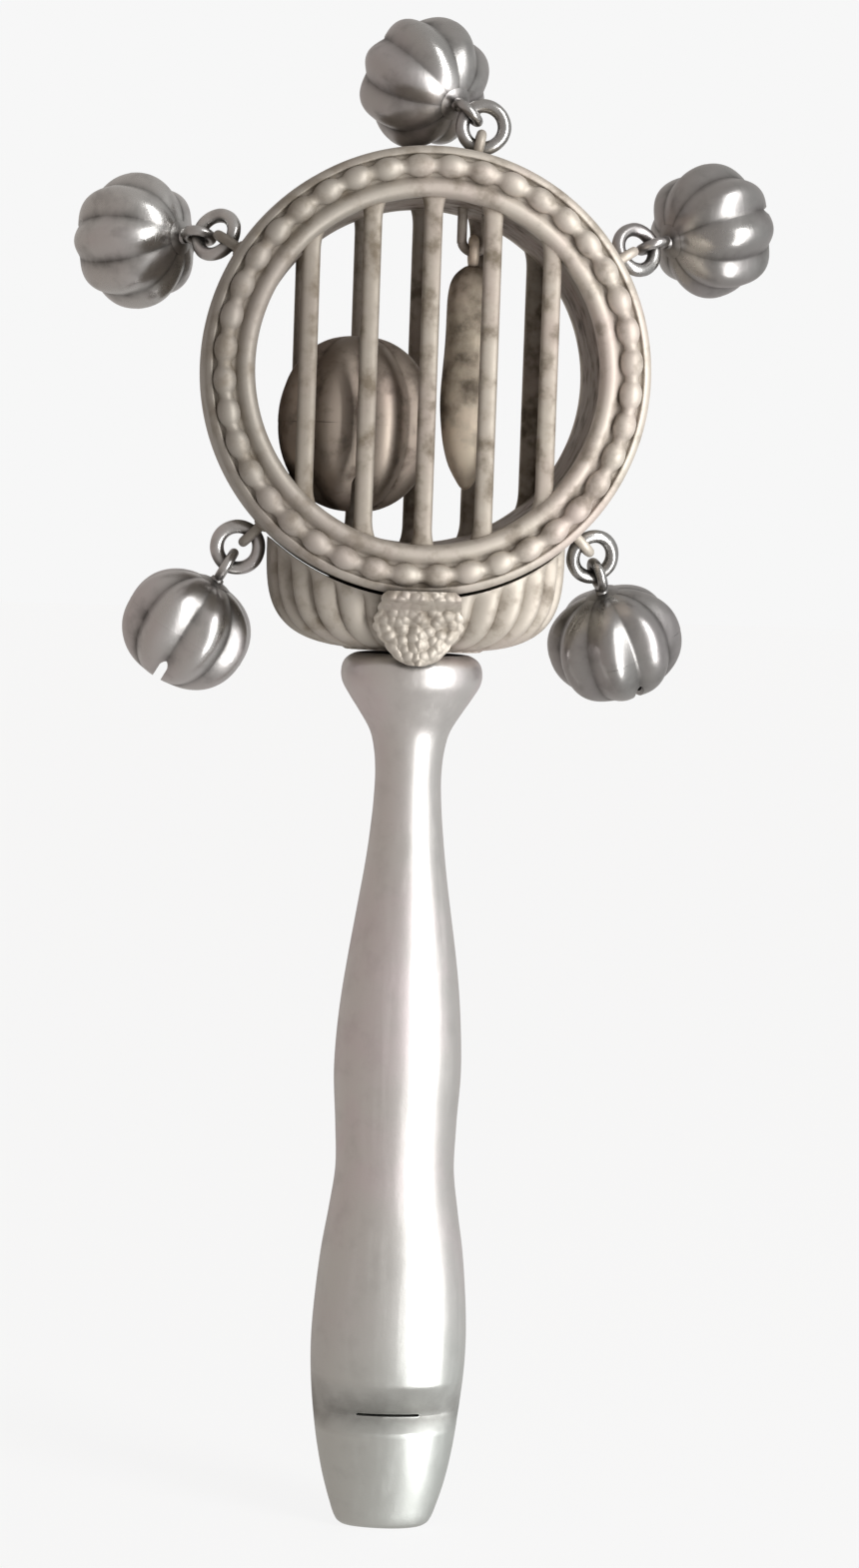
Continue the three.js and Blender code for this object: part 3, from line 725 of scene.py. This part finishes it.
def leaf_shape():
    """A small leaf with a pebbled face, curled edges and a middle vein."""
    rows, columns = 90, 90
    down = np.linspace(0, 1, rows)[:, None]
    share = np.linspace(-1, 1, columns)[None, :]
    z = LEAF_HIGH[2] + (LEAF_LOW[2] - LEAF_HIGH[2]) * down + 0 * share
    outline = (1 - 0.95 * down**3) ** 0.6 * (1 - 0.3 * (1 - down) ** 6) * (1 + 0.05 * np.cos(4 * math.pi * down))
    teeth = 1 + 0.05 * np.abs(np.sin(7 * math.pi * down))
    x = share * (LEAF_HIGH[0] - 0.2) * outline * teeth
    back = leaf_back(z[:, :1]) - 0.1 + 0 * x
    face = back - 0.9
    bulge = 0.45 * share**2
    height = np.zeros_like(x)
    for i in range(rows):
        for k in range(columns):
            cell = noise.voronoi(Vector((x[i, k] / 0.85, z[i, k] / 0.85, 0.5)))[0]
            height[i, k] = 0.34 * max(0.0, 1 - 1.7 * cell[0] ** 2)
    vein = 0.2 * np.exp(-((share * outline / 0.1) ** 2))
    front = face + 0.25 + bulge - height * (1 - share**6) - vein
    sheet_front = np.stack([x, front, z], -1)
    sheet_back = np.stack([x, back, z], -1)
    ring = np.concatenate([sheet_front, sheet_back[:, ::-1]], 1)
    recess = np.concatenate([0.5 * np.clip(1 - height / 0.14, 0, 1), np.ones_like(height)], 1)
    return grid(ring, recess, cap=True)


piece("leaf_ornament_fine", leaf_shape(), CAGE, "rattle_frame", ["leaf_ornament"])

# ---------------------------------------------------------------- handle and whistle


def handle_sections():
    """Heights, half widths and half depths of the handle, read off its back half."""
    points = np.array([v.co for v in frame["nodes"]["handle_back_shell"].data.vertices]) / MM
    heights = np.unique(np.round(points[:, 2], 2))
    widths, depths = [], []
    for z in heights:
        row = points[np.abs(points[:, 2] - z) < 0.02]
        widths.append(row[:, 0].max())
        depths.append(row[:, 1].max())
    return heights, np.array(widths), np.array(depths)


HEIGHTS, WIDTHS, DEPTHS = handle_sections()
HANDLE_TOP = HEIGHTS[-1]


def handle_size(z):
    """Half width and half depth at a height, smooth between the measured rows."""
    slope_w, slope_d = np.gradient(WIDTHS, HEIGHTS), np.gradient(DEPTHS, HEIGHTS)
    k = np.clip(np.searchsorted(HEIGHTS, z, side="right") - 1, 0, len(HEIGHTS) - 2)
    span = HEIGHTS[k + 1] - HEIGHTS[k]
    t = (z - HEIGHTS[k]) / span

    def curve(values, slopes):
        a, b = values[k], values[k + 1]
        return (
            (2 * t**3 - 3 * t**2 + 1) * a + (t**3 - 2 * t**2 + t) * span * slopes[k]
            + (3 * t**2 - 2 * t**3) * b + (t**3 - t**2) * span * slopes[k + 1]
        )

    return curve(WIDTHS, slope_w), curve(DEPTHS, slope_d)


VALLEY_Z = 11.9
VALLEY_ABOVE = 3.4
VALLEY_BELOW = 1.7
MOUTH_Z = VALLEY_Z + 0.15
MOUTH_DEPTH = 1.75


def handle_shell(direction, seed):
    """Half of the handle: an outer and an inner skin, open at both ends' bore."""
    edge = 0.6
    z = np.unique(np.concatenate([
        edge * (1 - np.cos(np.linspace(0, math.pi / 2, 6))), np.linspace(0.5, 6, 12), np.linspace(6, 20, 70),
        np.linspace(20, 76, 110), np.linspace(76, HANDLE_TOP - edge, 60),
        HANDLE_TOP - edge * (1 - np.cos(np.linspace(0, math.pi / 2, 6))),
    ]))
    width, depth = handle_size(z)
    near_end = np.clip(np.maximum(edge - z, z - (HANDLE_TOP - edge)) / edge, 0, 1)
    shrink = edge * (1 - np.sqrt(1 - near_end**2))
    steps = 72
    turn = np.linspace(0, math.pi, steps)

    def skin(inset):
        a = (width - inset)[:, None]
        b = (depth - inset)[:, None]
        y = b * np.sin(turn)
        return np.stack([a * np.cos(turn), np.maximum(y, 0.015), np.repeat(z[:, None], steps, 1)], -1)

    outer, inner = skin(shrink), skin(0.9)
    seam = np.clip(1 - np.abs(np.cos(turn)) ** 60, 0, 1)
    recess_outer = np.repeat((1 - seam)[None, :] * 0.5, len(z), 0)
    if direction < 0:
        # A valley is pressed across the front at the whistle's mouth.
        rise = np.maximum((z - VALLEY_Z) / VALLEY_ABOVE, (VALLEY_Z - z) / VALLEY_BELOW)
        fall = np.sqrt(np.clip(1.03 - rise, 0, 1) ** 2 + 0.003) - 0.055
        sideways = np.clip(np.sin(turn), 0, 1) ** 0.6
        pressed = MOUTH_DEPTH * np.clip(fall, 0, 1)[:, None] * sideways[None, :]
        outer[:, :, 1] -= pressed
        inner[:, :, 1] -= pressed
        # Painted shade: the valley is also darkened in colour, so that it stays dark where the lamp would shine in
        # it.
        recess_outer += 1.4 * np.clip(1.2 - rise, 0, 1)[:, None]
    inner = inner[:, ::-1]
    points = np.concatenate([outer, inner], 1)
    recess = np.concatenate([recess_outer, np.full_like(recess_outer, 0.5)], 1)
    shape = grid(points, recess, cap=False)
    ends = []
    count = 2 * steps
    for row in (0, len(z) - 1):
        first = row * count
        for k in range(steps - 1):
            ends.append([first + k, first + k + 1, first + count - 2 - k, first + count - 1 - k])
    verts = dented(shape[0], 11.0, 0.16, seed) * (1, direction, 1)
    return verts, shape[1] + ends, shape[2]


front_shell = piece(
    "handle_front_shell_fine", handle_shell(-1, 31), HANDLE, "rattle_frame", ["handle_front_shell"]
)
piece("handle_back_shell_fine", handle_shell(1, 31), HANDLE, "rattle_frame", ["handle_back_shell"])


def rounded_slot(width, height, y_near, y_far, z):
    turn = np.linspace(-math.pi / 2, math.pi / 2, 9)
    end = np.stack([(width - height) / 2 + height / 2 * np.cos(turn), height / 2 * np.sin(turn)], -1)
    outline = np.vstack([end, -end])
    rows = [np.column_stack([outline[:, 0], np.full(len(outline), y), z + outline[:, 1]]) for y in (y_near, y_far)]
    return grid(np.array(rows), cap=True)


cut(front_shell, rounded_slot(6.4, 0.3, -9.0, -1.4, MOUTH_Z))

BLOCK_LOW, BLOCK_HIGH = box_mm("whistle_block")


def block_shape():
    """The whistle's block: a plug with a flat front that leaves the windway open."""
    z = np.array([0.12, 0.0, 0.12, 2, 4, 6, 8, BLOCK_HIGH[2] - 0.15, BLOCK_HIGH[2]])
    z = np.unique(z)
    width, depth = handle_size(z)
    flat = BLOCK_LOW[1]
    turn = np.linspace(0, TAU, 96, endpoint=False)
    inset = 0.9 + 0.02 + np.where((z < 0.05) | (z > BLOCK_HIGH[2] - 0.05), 0.12, 0)
    x = (width - inset)[:, None] * np.cos(turn)
    y = np.maximum((depth - inset)[:, None] * np.sin(turn), flat)
    return grid(np.stack([x, y, np.repeat(z[:, None], 96, 1)], -1), 0.3, cap=True)


piece("whistle_block_fine", block_shape(), HANDLE, "rattle_frame", ["whistle_block"])


def disc_shape(node):
    low, high = box_mm(node)
    z = np.array([low[2], low[2] + 0.2, high[2] - 0.2, high[2]])
    inset = np.array([0.15, 0, 0, 0.15])
    turn = np.linspace(0, TAU, 72, endpoint=False)
    x = (high[0] + 0.2 - inset)[:, None] * np.cos(turn)
    y = (high[1] + 0.2 - inset)[:, None] * np.sin(turn)
    return grid(np.stack([x, y, np.repeat(z[:, None], 72, 1)], -1), 0.6, cap=True)


piece("chamber_stop_fine", disc_shape("chamber_stop"), DARK, "rattle_frame", ["chamber_stop"])
stud_low, stud_high = box_mm("neck_stud")
stud_r = stud_high[1]
stud = revolved(
    [(0, stud_low[2]), (stud_r - 0.2, stud_low[2]), (stud_r, stud_low[2] + 0.3), (stud_r, stud_high[2] - 0.3),
     (stud_r - 0.2, stud_high[2]), (0, stud_high[2])],
    40, 0.4,
)
piece("neck_stud_fine", stud, HANDLE, "rattle_frame", ["neck_stud"])

# ---------------------------------------------------------------- stage, light and camera


def make_stage():
    size = 3.0
    mesh = bpy.data.meshes.new("floor")
    corners = [(-size, -size, 0), (size, -size, 0), (size, size, 0), (-size, size, 0)]
    mesh.from_pydata(corners, [], [[0, 1, 2, 3]])
    floor = bpy.data.objects.new("floor", mesh)
    bpy.context.scene.collection.objects.link(floor)
    material = bpy.data.materials.new("floor_white")
    material.use_nodes = True
    shader = material.node_tree.nodes["Principled BSDF"]
    shader.inputs["Base Color"].default_value = (0.05, 0.05, 0.05, 1)
    shader.inputs["Roughness"].default_value = 0.9
    shader.inputs["Emission Color"].default_value = (1, 1, 1, 1)
    shader.inputs["Emission Strength"].default_value = 0.855
    mesh.materials.append(material)
    # The metal mirrors the room rather than the floor, and the lights reach below it.
    floor.visible_glossy = False
    floor.visible_shadow = False


def softbox(name, direction, distance, width, height, power, aim=(0, 0, 0.085)):
    """A rectangular light at a distance from the rattle, facing it."""
    light = bpy.data.lights.new(name, "AREA")
    light.shape = "RECTANGLE"
    light.size, light.size_y = width, height
    light.energy = power
    lamp = bpy.data.objects.new(name, light)
    bpy.context.scene.collection.objects.link(lamp)
    away = Vector(direction).normalized()
    lamp.location = Vector(aim) + away * distance
    lamp.visible_camera = False
    lamp.rotation_mode = "QUATERNION"
    lamp.rotation_quaternion = away.to_track_quat("Z", "Y")


def make_world():
    """A pale room: brighter to the right, dimmer to the left."""
    world = bpy.data.worlds.new("studio")
    bpy.context.scene.world = world
    world.use_nodes = True
    tree = world.node_tree
    nodes, links = tree.nodes, tree.links
    place = nodes.new("ShaderNodeTexCoord")
    split = nodes.new("ShaderNodeSeparateXYZ")
    links.new(place.outputs["Generated"], split.inputs[0])
    ramp = nodes.new("ShaderNodeMapRange")
    ramp.inputs["From Min"].default_value = -1
    ramp.inputs["From Max"].default_value = 1
    ramp.inputs["To Min"].default_value = 0.47
    ramp.inputs["To Max"].default_value = 0.62
    links.new(split.outputs["X"], ramp.inputs["Value"])
    room = nodes["Background"]
    links.new(ramp.outputs["Result"], room.inputs["Strength"])
    hue = nodes.new("ShaderNodeMix")
    hue.data_type = "RGBA"
    hue.inputs[6].default_value = (1, 0.9, 0.84, 1)
    hue.inputs[7].default_value = (1, 1, 0.99, 1)
    side = nodes.new("ShaderNodeMapRange")
    side.inputs["From Min"].default_value = -1
    links.new(split.outputs["X"], side.inputs["Value"])
    links.new(side.outputs["Result"], hue.inputs[0])
    links.new(hue.outputs[2], room.inputs["Color"])
    backdrop = nodes.new("ShaderNodeBackground")
    backdrop.inputs["Color"].default_value = (0.93, 0.93, 0.93, 1)
    seen = nodes.new("ShaderNodeLightPath")
    mix = nodes.new("ShaderNodeMixShader")
    links.new(seen.outputs["Is Camera Ray"], mix.inputs[0])
    links.new(room.outputs[0], mix.inputs[1])
    links.new(backdrop.outputs[0], mix.inputs[2])
    links.new(mix.outputs[0], nodes["World Output"].inputs[0])


def make_camera():
    data = bpy.data.cameras.new("camera")
    data.sensor_width = 36
    data.lens = 91.2
    camera = bpy.data.objects.new("camera", data)
    bpy.context.scene.collection.objects.link(camera)
    azimuth, elevation, roll = math.radians(-4.0), math.radians(4.2), math.radians(2.04)
    aim = Vector((0.0022, 0, 0.0758))
    back = Vector((
        math.sin(azimuth) * math.cos(elevation),
        -math.cos(azimuth) * math.cos(elevation),
        math.sin(elevation),
    ))
    camera.location = aim + back * 0.4
    camera.rotation_mode = "QUATERNION"
    camera.rotation_quaternion = (-back).to_track_quat("-Z", "Y") @ Quaternion((0, 0, 1), roll)
    bpy.context.scene.camera = camera


make_stage()
make_world()
softbox("key", (0.69, -0.72, 0.05), 0.5, 0.17, 0.85, 4.6)
make_camera()
bpy.context.scene.view_settings.view_transform = "Standard"
